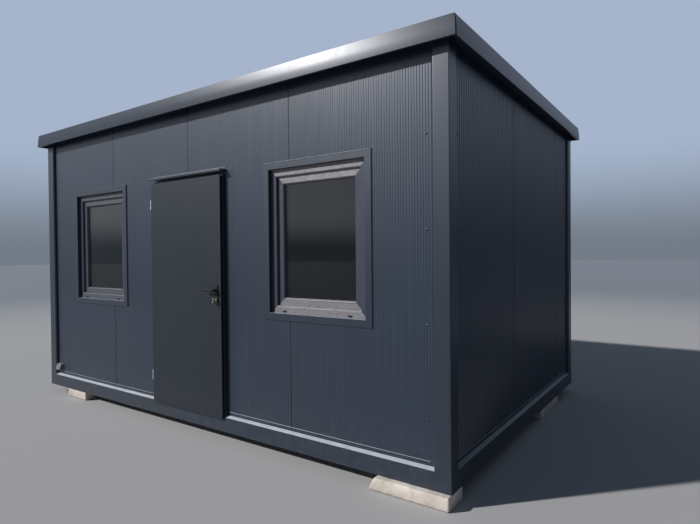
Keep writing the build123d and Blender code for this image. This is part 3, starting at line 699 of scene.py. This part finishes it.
def pick(piece, kind, wanted):
    """Leaves edit mode on with the wanted vertices or faces of the active piece selected."""
    bpy.ops.object.mode_set(mode="EDIT")
    bpy.ops.mesh.select_mode(type=kind)
    bpy.ops.mesh.select_all(action="DESELECT")
    bpy.ops.object.mode_set(mode="OBJECT")
    chosen = piece.data.vertices if kind == "VERT" else piece.data.polygons
    for element in chosen:
        middle = element.co if kind == "VERT" else element.center
        element.select = wanted(middle, element.normal)
    bpy.ops.object.mode_set(mode="EDIT")


def apply_modifier(piece, kind, **settings):
    modifier = piece.modifiers.new(kind.title(), kind)
    for key, value in settings.items():
        setattr(modifier, key, value)
    make_active(piece)
    bpy.ops.object.modifier_apply(modifier=modifier.name)


def round_edges(piece, width, segments=2, **more):
    apply_modifier(piece, "BEVEL", width=width, segments=segments, limit_method="ANGLE", **more)


def joined(pieces):
    make_active(pieces[0])
    for piece in pieces:
        piece.select_set(True)
    bpy.ops.object.join()
    return bpy.context.object


def settle(piece, name, slot, body="cabin", material=None):
    make_active(piece)
    bake_place()
    piece.name = name
    coat(piece, material or finishes[slot])
    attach(piece, body)
    return piece


print("modelling helpers ready")

# %% [markdown]
# A construction node is loose triangles. A copy of one is merged, and its flat faces are made
# whole again, before any edge is rounded.

# %% Copy a node and clean the copy
double_distance = 0.00002
flat_angle = math.radians(2)


def merged_copy(name, ending):
    piece = bpy.data.objects.new(name + ending, nodes[name].data.copy())
    bpy.context.scene.collection.objects.link(piece)
    make_active(piece)
    bpy.ops.object.mode_set(mode="EDIT")
    bpy.ops.mesh.select_all(action="SELECT")
    bpy.ops.mesh.remove_doubles(threshold=double_distance)
    bpy.ops.mesh.dissolve_limited(angle_limit=flat_angle)
    bpy.ops.object.mode_set(mode="OBJECT")
    return piece


print("flat within degrees:", round(math.degrees(flat_angle), 1))

# %% [markdown]
# ## Softened edges
#
# No real edge is a perfect knife edge: folded sheet turns through a small radius, and a plastic
# member is rounded where its foil wraps. The small roundings are what catch the light as the
# bright lines along the fascia, the drip rail and the window trims. The cleaned copy of the node
# is bevelled, each kind of piece by its own width, and then stands for the node.

# %% Round the edges of folded and moulded pieces
sharp_angle = math.radians(30)
smooth_angle = math.radians(40)
edge_widths = {
    "_fascia": 0.0014,
    "_drip_rail": 0.0009,
    "_window_trim": 0.0016,
    "_window_frame": 0.0025,
    "_window_sash": 0.0025,
    "door_leaf": 0.0022,
    "door_cap": 0.0009,
    "door_plates": 0.002,
    "lever_handles": 0.0035,
    "window_handles": 0.003,
    "power_inlet": 0.002,
    "hinge_posts": 0.0012,
    "hinge_caps": 0.0012,
    "keys": 0.0006,
    "lock_cylinder": 0.0006,
    "door_frame": 0.0015,
}


def softened(name, width):
    piece = merged_copy(name, "_finished")
    round_edges(piece, width, angle_limit=sharp_angle)
    bpy.ops.object.shade_smooth_by_angle(angle=smooth_angle)
    apply_modifier(piece, "WEIGHTED_NORMAL", keep_sharp=True)
    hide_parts(name)
    return settle(piece, name + "_finished", slot_of[name], body_of[name], finish_of[name])


softened_pieces = []
for name in list(nodes):
    for ending, width in edge_widths.items():
        if name.endswith(ending):
            softened_pieces.append(softened(name, width))
print("softened:", len(softened_pieces))

# %% [markdown]
# ## Ribbed sheet
#
# The outer skin of a wall panel is rolled with fine ribs, which read as faint upright lines in
# the light. They are 20 mm apart on the long walls, and wider and deeper on the end walls. A bump
# map would fake them, but it leaves a straight edge at the window trims, so the ribs are real: a
# grid with four columns to a rib, whose crests are moved out. Openings are cut by bisecting the
# sheet along their edges and deleting what lies between. The sheet is drawn facing the front and
# then turned on to its own wall.

# %% Model one ribbed sheet
rib_pitch = {"front": 0.02, "rear": 0.02, "left": 0.031, "right": 0.031}
rib_height = {"front": 0.0012, "rear": 0.0012, "left": 0.0034, "right": 0.0034}
columns_per_rib = 4
crest_columns = (1, 2)
sheet_gap = 0.0002
sheet_thickness = 0.0006
seam_setback = 0.002


def ribbed_sheet(name, wall, low, high, openings):
    """low and high are the ends of the panel along the wall, drawn as if it faced the front."""
    low, high = low + seam_setback, high - seam_setback
    columns = columns_per_rib * round((high - low) / rib_pitch[wall.side])
    clear_selection()
    middle = ((low + high) / 2, -wall.reach - sheet_gap - sheet_thickness, (wall_low + wall_high) / 2)
    bpy.ops.mesh.primitive_grid_add(
        x_subdivisions=columns, y_subdivisions=1, size=1, location=middle, rotation=(math.pi / 2, 0, 0)
    )
    sheet = bpy.context.object
    sheet.scale = (high - low, wall_high - wall_low, 1)
    bake_place()
    column = (high - low) / columns
    pick(sheet, "VERT", lambda at, _: round((at.x - low) / column) % columns_per_rib in crest_columns)
    bpy.ops.transform.translate(value=(0, -rib_height[wall.side], 0))
    for x0, z0, x1, z1 in openings:
        upright_cuts = [((x, 0, 0), (1, 0, 0)) for x in (x0, x1)]
        level_cuts = [((0, 0, z), (0, 0, 1)) for z in (z0, z1)]
        for at, way in upright_cuts + level_cuts:
            bpy.ops.mesh.select_all(action="SELECT")
            bpy.ops.mesh.bisect(plane_co=at, plane_no=way)
        pick(sheet, "FACE", lambda at, _: x0 < at.x < x1 and z0 < at.z < z1)
        bpy.ops.mesh.delete(type="FACE")
    bpy.ops.object.mode_set(mode="OBJECT")
    apply_modifier(sheet, "SOLIDIFY", thickness=sheet_thickness, offset=-1)
    sheet.rotation_euler = (0, 0, math.radians(wall.turn))
    return settle(sheet, name, "wall_panel")


print("rib pitch", rib_pitch, "height", rib_height)

# %% [markdown]
# Each wall is described once. `along` and `out` are the axes that run along it and out of it,
# `sign` is which way is out, `turn` brings a piece that is drawn facing the front on to the wall,
# `reach` is how far out the panels' face is, and `run` is -1 where that turn reverses the wall.
# The openings are where the front sheets leave room for the window trims, the door with its cap
# and the inlet box.

# %% Describe the four walls
Wall = namedtuple("Wall", "side names along out sign turn reach run openings")


def outline_of(name):
    low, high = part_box(name)
    return low.x, low.z, high.x, high.z


front_fittings = ("left_window_trim", "right_window_trim", "door_frame", "door_cap", "power_inlet")
front_openings = [outline_of(name) for name in front_fittings]
front_names = [f"front_panel_{index}" for index in range(1, 5)]
long_wall = {"along": 0, "out": 1, "reach": half_width - recess}
end_wall = {"along": 1, "out": 0, "reach": half_length - recess}
walls = [
    Wall("front", front_names, sign=-1, turn=0, run=1, openings=front_openings, **long_wall),
    Wall("right", ["right_wall_panels"], sign=1, turn=90, run=1, openings=[], **end_wall),
    Wall("rear", ["rear_wall_panels"], sign=1, turn=180, run=-1, openings=[], **long_wall),
    Wall("left", ["left_wall_panels"], sign=-1, turn=270, run=-1, openings=[], **end_wall),
]
print("walls:", [wall.side for wall in walls])

# %% [markdown]
# The panels of a wall are read off its outer face: the highest vertices there come in pairs, one
# for each upright edge.

# %% Cover the four walls
near = 0.0005


def runs_along(wall, names, level):
    """The outermost face of the nodes at a height, and where its pieces start and end along the wall."""
    corners = [v.co for name in names for v in nodes[name].data.vertices if abs(v.co.z - level) < near]
    face = max(wall.sign * corner[wall.out] for corner in corners)
    outer = [corner for corner in corners if wall.sign * corner[wall.out] > face - near]
    marks = sorted({round(corner[wall.along], 4) for corner in outer})
    return face, list(zip(marks[0::2], marks[1::2]))


sheets = []
for wall in walls:
    for index, ends in enumerate(runs_along(wall, wall.names, wall_high)[1]):
        low, high = sorted(wall.run * end for end in ends)
        crossing = [o for o in wall.openings if o[0] < high and o[2] > low]
        sheets.append(ribbed_sheet(f"{wall.side}_sheet_{index + 1}", wall, low, high, crossing))
print("ribbed sheets:", len(sheets), "faces:", sum(len(s.data.polygons) for s in sheets))

# %% [markdown]
# ## Strips and hems
#
# Every joint between two panels reads as a fine black line of shade. That shade is painted: a black strip,
# level with the roots of the ribs, fills the joint. It is a box with rounded edges, and it stops where a
# window or the door interrupts the joint.

# %% Model one strip
shade_strip_width = 0.006
shade_strip_depth = 0.0018


def clear_heights(x, openings):
    """The stretches of a joint between the foot and the head of the wall that no opening cuts."""
    start, free = wall_low, []
    for o in sorted((o for o in openings if o[0] < x < o[2]), key=lambda o: o[1]):
        free.append((start, o[1]))
        start = o[3]
    return [(low, high) for low, high in free + [(start, wall_high)] if high > low]


def shade_strip(wall, x, bottom, top):
    clear_selection()
    middle = (x, -wall.reach - sheet_gap - shade_strip_depth / 2, (bottom + top) / 2)
    bpy.ops.mesh.primitive_cube_add(size=1, location=middle)
    strip = bpy.context.object
    strip.scale = (shade_strip_width, shade_strip_depth, top - bottom)
    bake_place()
    round_edges(strip, shade_strip_depth / 3)
    strip.rotation_euler = (0, 0, math.radians(wall.turn))
    return strip


print("strip", shade_strip_width, "by", shade_strip_depth)

# %% [markdown]
# The free edges of thin sheet are rolled into a hem, so that they are stiff and don't cut. The
# rounded top of the drip rail's upstand, both folds of the door cap and the head of each window
# trim read as pale lines in the light, and so does the lower glazing bead. Each is a rod along
# the edge, with its ends drawn in.

# %% Model one hem
hem_radius = 0.003
hem_sides = 16
cap_hem_radius = 0.0045
cap_hem_setback = 0.002
trim_hem_radius = 0.0025
bead_radius = 0.004


def hem(low, high, height, turn, reach, radius):
    clear_selection()
    middle = ((low + high) / 2, -reach, height)
    bpy.ops.mesh.primitive_cylinder_add(
        vertices=hem_sides, radius=radius, depth=high - low, location=middle, rotation=(0, math.pi / 2, 0)
    )
    rod = bpy.context.object
    bake_place()
    pick(rod, "FACE", lambda _, normal: abs(normal.x) > square_on)
    bpy.ops.mesh.inset(thickness=radius / 3)
    bpy.ops.object.mode_set(mode="OBJECT")
    bpy.ops.object.shade_smooth_by_angle(angle=smooth_angle)
    rod.rotation_euler = (0, 0, math.radians(turn))
    return rod


def opening_of(sash):
    """The clear opening of a sash: the innermost upright and level faces of its mesh."""
    low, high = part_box(sash)
    middle = (low + high) / 2
    points = [v.co for v in nodes[sash].data.vertices if v.co.y < low.y + near]
    left_side = max(p.x for p in points if p.x < middle.x)
    right_side = min(p.x for p in points if p.x > middle.x)
    bottom_side = max(p.z for p in points if p.z < middle.z)
    top_side = min(p.z for p in points if p.z > middle.z)
    return left_side, bottom_side, right_side, top_side


print("clear glass", [round(v, 3) for v in opening_of("right_window_sash")])

# %% Strips in the joints, hems on the rails
shade_strips, hems = [], []
for wall in walls:
    edges = runs_along(wall, wall.names, wall_high)[1]
    for before, after in zip(edges, edges[1:]):
        x = wall.run * (before[1] + after[0]) / 2
        shade_strips += [shade_strip(wall, x, *heights) for heights in clear_heights(x, wall.openings)]
    face, stretches = runs_along(wall, [f"{wall.side}_drip_rail"], rail_top)
    for ends in stretches:
        low, high = sorted(wall.run * end for end in ends)
        hems.append(hem(low, high, rail_top, wall.turn, face, hem_radius))

cap_low, cap_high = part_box("door_cap")
cap_front = [v.co for v in nodes["door_cap"].data.vertices if v.co.y < cap_low.y + near]
cap_fold = max(point.z for point in cap_front)
hems.append(hem(cap_low.x, cap_high.x, cap_high.z, 0, cap_hem_setback - cap_high.y, cap_hem_radius))
hems.append(hem(cap_low.x, cap_high.x, cap_fold, 0, -cap_low.y, cap_hem_radius))

for side in ("left", "right"):
    trim_low, trim_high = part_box(f"{side}_window_trim")
    trim_top = trim_high.z - trim_hem_radius
    hems.append(hem(trim_low.x, trim_high.x, trim_top, 0, -trim_low.y, trim_hem_radius))
    bead_left, bead_height, bead_right, _ = opening_of(f"{side}_window_sash")
    bead_top = bead_height - bead_radius / 2
    bead_out = -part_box(f"{side}_window_sash")[0].y - bead_radius / 2
    hems.append(hem(bead_left, bead_right, bead_top, 0, bead_out, bead_radius))
# Painted shade: black strips in the panel joints.
settle(joined(shade_strips), "joint_strips", "black_plastic", material=rubber_and_shade)
# The hems take the front rail's paint: dust and a painted highlight on faces that look up.
settle(joined(hems), "rail_hems", "steel_frame", material=front_rail_paint_with_sheen)
print("strips:", len(shade_strips), "hems:", len(hems))

# %% [markdown]
# ## Glazing seals
#
# A thin black rubber seal presses the glass against each sash. It is drawn eleven millimetres wide, wider
# than the seal alone, so that it also paints the shade the sash casts on the glass: part real seal, part
# painted shade. It is a frame: a plane is inset, its middle is deleted, and what is left is pulled outwards.

# %% Seal ring round each pane
seal_and_shade_width = 0.011
seal_depth = 0.003
seal_rounding = 0.001


def seal_and_shade_ring(side):
    left_side, bottom_side, right_side, top_side = opening_of(f"{side}_window_sash")
    glass_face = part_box(f"{side}_window_glass")[0].y
    middle = ((left_side + right_side) / 2, glass_face, (bottom_side + top_side) / 2)
    clear_selection()
    bpy.ops.mesh.primitive_plane_add(size=1, location=middle, rotation=(math.pi / 2, 0, 0))
    seal = bpy.context.object
    seal.scale = (right_side - left_side, top_side - bottom_side, 1)
    bake_place()
    bpy.ops.object.mode_set(mode="EDIT")
    bpy.ops.mesh.select_all(action="SELECT")
    bpy.ops.mesh.inset(thickness=seal_and_shade_width)
    bpy.ops.mesh.delete(type="FACE")
    bpy.ops.object.mode_set(mode="OBJECT")
    apply_modifier(seal, "SOLIDIFY", thickness=seal_depth, offset=1)
    round_edges(seal, seal_rounding)
    return settle(seal, f"{side}_outer_seal_and_shade", "black_plastic", material=rubber_and_shade)


seals = [seal_and_shade_ring(side) for side in ("left", "right")]
print("seals:", [seal.name for seal in seals])

# %% [markdown]
# ## Drain caps
#
# Rain that gets behind the sash runs out of the bottom rail through two slots, each under a small
# plastic hood. The hood is a box whose front face is drawn in and down, with rounded edges.

# %% Drain caps on both bottom rails
hood_size = (0.034, 0.006, 0.011)
hood_inset = 0.002
hood_slope = 0.0015
hood_rounding = 0.0012
hood_rise = 0.018
hood_from_left, hood_from_right = 0.13, 0.15


def drain_cap(at):
    clear_selection()
    bpy.ops.mesh.primitive_cube_add(size=1, location=at)
    hood = bpy.context.object
    hood.scale = hood_size
    bake_place()
    pick(hood, "FACE", lambda _, normal: normal.y < -square_on)
    bpy.ops.mesh.inset(thickness=hood_inset)
    bpy.ops.transform.translate(value=(0, -hood_slope, -hood_slope))
    bpy.ops.object.mode_set(mode="OBJECT")
    round_edges(hood, hood_rounding)
    return hood


hoods = []
for side in ("left", "right"):
    low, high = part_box(f"{side}_window_frame")
    for x in (low.x + hood_from_left, high.x - hood_from_right):
        hoods.append(drain_cap((x, low.y - hood_size[1] / 2, low.z + hood_rise)))
settle(joined(hoods), "drain_caps", "black_plastic")
print("drain caps:", len(hoods))

# %% [markdown]
# ## Screws
#
# Painted hex screws with a washer fix the panels to the posts. One is modelled: a washer disc
# whose outer face is inset and pulled out to a cone, and a six-sided head on top. It is then
# copied down the edge of every wall, each copy with its own mesh.

# %% Model one screw
washer_sides, washer_radius, washer_depth = 18, 0.0075, 0.0012
cone_inset, cone_height = 0.002, 0.0008
head_sides, head_radius, head_depth = 6, 0.0046, 0.0045
head_out = 0.0035
head_rounding = 0.0005


def disc(sides, radius, depth, out=0.0):
    clear_selection()
    bpy.ops.mesh.primitive_cylinder_add(
        vertices=sides, radius=radius, depth=depth, location=(0, -out, 0), rotation=(math.pi / 2, 0, 0)
    )
    bpy.ops.object.transform_apply(rotation=True)
    return bpy.context.object


def screw_shape():
    washer = disc(washer_sides, washer_radius, washer_depth)
    pick(washer, "FACE", lambda _, normal: normal.y < -square_on)
    bpy.ops.mesh.inset(thickness=cone_inset)
    bpy.ops.transform.translate(value=(0, -cone_height, 0))
    bpy.ops.object.mode_set(mode="OBJECT")
    head = disc(head_sides, head_radius, head_depth, head_out)
    apply_modifier(head, "BEVEL", width=head_rounding, segments=1)
    return joined([washer, head])


def copies(shape, matrices):
    made = []
    for matrix in matrices:
        copy = bpy.data.objects.new("copy", shape.data.copy())
        bpy.context.scene.collection.objects.link(copy)
        copy.data.transform(matrix)
        made.append(copy)
    bpy.data.objects.remove(shape)
    return joined(made)


print("screw head", head_radius * 2, "wide")

# %% Copy it along the walls
post_size = post_high.x - post_low.x
long_wall_inset = 0.048
end_wall_inset = 0.08
screw_rows = (0.51, 1.11, 1.71, 2.31)

stations = []
for wall in walls:
    half = half_width - end_wall_inset if wall.along else half_length - long_wall_inset
    out_by = wall.reach + sheet_gap + sheet_thickness + rib_height[wall.side]
    turned_to_wall = Matrix.Rotation(math.radians(wall.turn), 4, "Z")
    for x in (post_size - half, half - post_size):
        for z in screw_rows:
            if not any(o[0] < x < o[2] and o[1] < z < o[3] for o in wall.openings):
                stations.append(turned_to_wall @ Matrix.Translation((x, -out_by, z)))
settle(copies(screw_shape(), stations), "wall_screws", "steel_frame")
print("screws:", len(stations))

# %% [markdown]
# ## Worn concrete blocks
#
# Cast blocks have chipped corners and faces that aren't quite flat. A merged copy of each node
# is bevelled, divided finely and pushed in, never out, by a cloud texture of a few millimetres.

# %% Blocks with rounded, uneven faces
block_rounding = 0.006
block_grid = 0.008
relief_scale = 0.035
relief_depth = 0.004

clouds = bpy.data.textures.new("Concrete relief", "CLOUDS")
clouds.noise_scale = relief_scale
for name in [n for n in nodes if slot_of[n] == "concrete"]:
    block = merged_copy(name, "_cast")
    round_edges(block, block_rounding)
    apply_modifier(block, "REMESH", mode="VOXEL", voxel_size=block_grid)
    apply_modifier(block, "DISPLACE", texture=clouds, strength=relief_depth, mid_level=1.0)
    bpy.ops.object.shade_smooth()
    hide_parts(name)
    settle(block, name + "_cast", "concrete")
print("relief", clouds.noise_scale, "wide")

# %% [markdown]
# ## Floor and light
#
# The cabin stands on a plain pale floor, so that its own colours show. The floor is darker far away and far
# in front, where only the walls mirror it. Well to the right it is darker still: painted shade on the
# ground, which the shaded end wall mirrors.

# %% Floor
near_floor, far_floor = (0.44, 0.43, 0.41, 1.0), (0.23, 0.25, 0.27, 1.0)
front_floor, shaded_side_floor = (0.09, 0.095, 0.105, 1.0), (0.08, 0.095, 0.13, 1.0)

clear_selection()
bpy.ops.mesh.primitive_circle_add(vertices=128, radius=120, fill_type="NGON")
floor = bpy.context.object
floor.name = "studio_floor"
floor_paint, tree, surface = new_material("Studio floor", roughness=0.9)
away = add(tree, "ShaderNodeVectorMath", {0: place(tree)}, operation="LENGTH").outputs["Value"]
pale = mixed(tree, smooth_step(tree, away, start=6.0, end=20.0), near_floor, far_floor)
in_front = smooth_step(tree, axis_of(tree, place(tree), "Y"), start=-6.0, end=-14.0)
shade_to_right = smooth_step(tree, axis_of(tree, place(tree), "X"), start=4.5, end=7.0)
darker = mixed(tree, in_front, pale, front_floor)
# Painted shade: the floor well to the right is darkened as if in shade.
tree.links.new(mixed(tree, shade_to_right, darker, shaded_side_floor), surface.inputs["Base Color"])
floor.data.materials.append(floor_paint)
floor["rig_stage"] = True
print("floor:", floor.name)

# %% [markdown]
# A weak blue light from all round fills the shadows. Camera, mirror and glass rays see another,
# brighter background: pale above a darker horizon, brightest low in front of the cabin, which
# its sunlit wall mirrors, and dusky beside it, which the shaded end wall mirrors.

# %% Surroundings
horizon_colour, upper_colour = (0.17, 0.2, 0.24, 1.0), (0.38, 0.46, 0.6, 1.0)
bright_colour = (0.72, 0.75, 0.8, 1.0)
low_dusk, high_dusk = (0.035, 0.055, 0.1, 1.0), (0.5, 0.57, 0.74, 1.0)

world = bpy.data.worlds.new("Studio")
bpy.context.scene.world = world
world.use_nodes = True
tree = world.node_tree
tree.nodes.clear()
rays = add(tree, "ShaderNodeLightPath").outputs
seen = maths(tree, "MAXIMUM", rays["Is Camera Ray"], rays["Is Glossy Ray"])
seen = maths(tree, "MAXIMUM", seen, rays["Is Transmission Ray"])
lighting = add(tree, "ShaderNodeBackground", {"Color": (0.5, 0.68, 1.0, 1.0), "Strength": 0.12})
aim = add(tree, "ShaderNodeSeparateXYZ", {0: add(tree, "ShaderNodeTexCoord").outputs["Generated"]}).outputs

wash = mixed(tree, smooth_step(tree, aim["Z"], start=0.0, end=0.2), horizon_colour, upper_colour)
forward = smooth_step(tree, aim["Y"], start=-0.2, end=-0.6)
above_ground = smooth_step(tree, aim["Z"], start=0.01, end=0.08)
below_top = smooth_step(tree, aim["Z"], start=0.5, end=0.15)
wash = mixed(tree, times(tree, forward, above_ground, below_top), wash, bright_colour)
past_middle = smooth_step(tree, aim["X"], start=0.03, end=0.3)
before_side = smooth_step(tree, aim["X"], start=0.95, end=0.5)
dusk = mixed(tree, smooth_step(tree, aim["Z"], start=0.02, end=0.35), low_dusk, high_dusk)
wash = mixed(tree, times(tree, past_middle, before_side), wash, dusk)
backdrop = add(tree, "ShaderNodeBackground", {"Color": wash, "Strength": 1.0})
either = add(tree, "ShaderNodeMixShader", {0: seen, 1: lighting.outputs[0], 2: backdrop.outputs[0]})
add(tree, "ShaderNodeOutputWorld", {"Surface": either.outputs[0]})
print("world:", world.name)

# %% [markdown]
# A broad sun lamp from the front left draws the shadow under the fascia and leaves the end wall
# in shade. Its angle softens the shadow's edge.

# %% Lamp
bpy.ops.object.light_add(type="SUN", location=(0, 0, 6))
sun = bpy.context.object
sun.data.energy = 3.8
sun.data.angle = math.radians(2)
sun.data.color = (0.96, 0.96, 1.0)
to_sun = Vector((-0.6, -0.63, 0.53)).normalized()
sun.rotation_euler = to_sun.to_track_quat("Z", "Y").to_euler()
print("sun elevation", round(math.degrees(math.asin(to_sun.z))))

# %% [markdown]
# ## Finish
#
# The standard view shows colours as they are written.

# %% Read the sizes and finish
bpy.context.scene.view_settings.view_transform = "Standard"
clear_selection()
low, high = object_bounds()
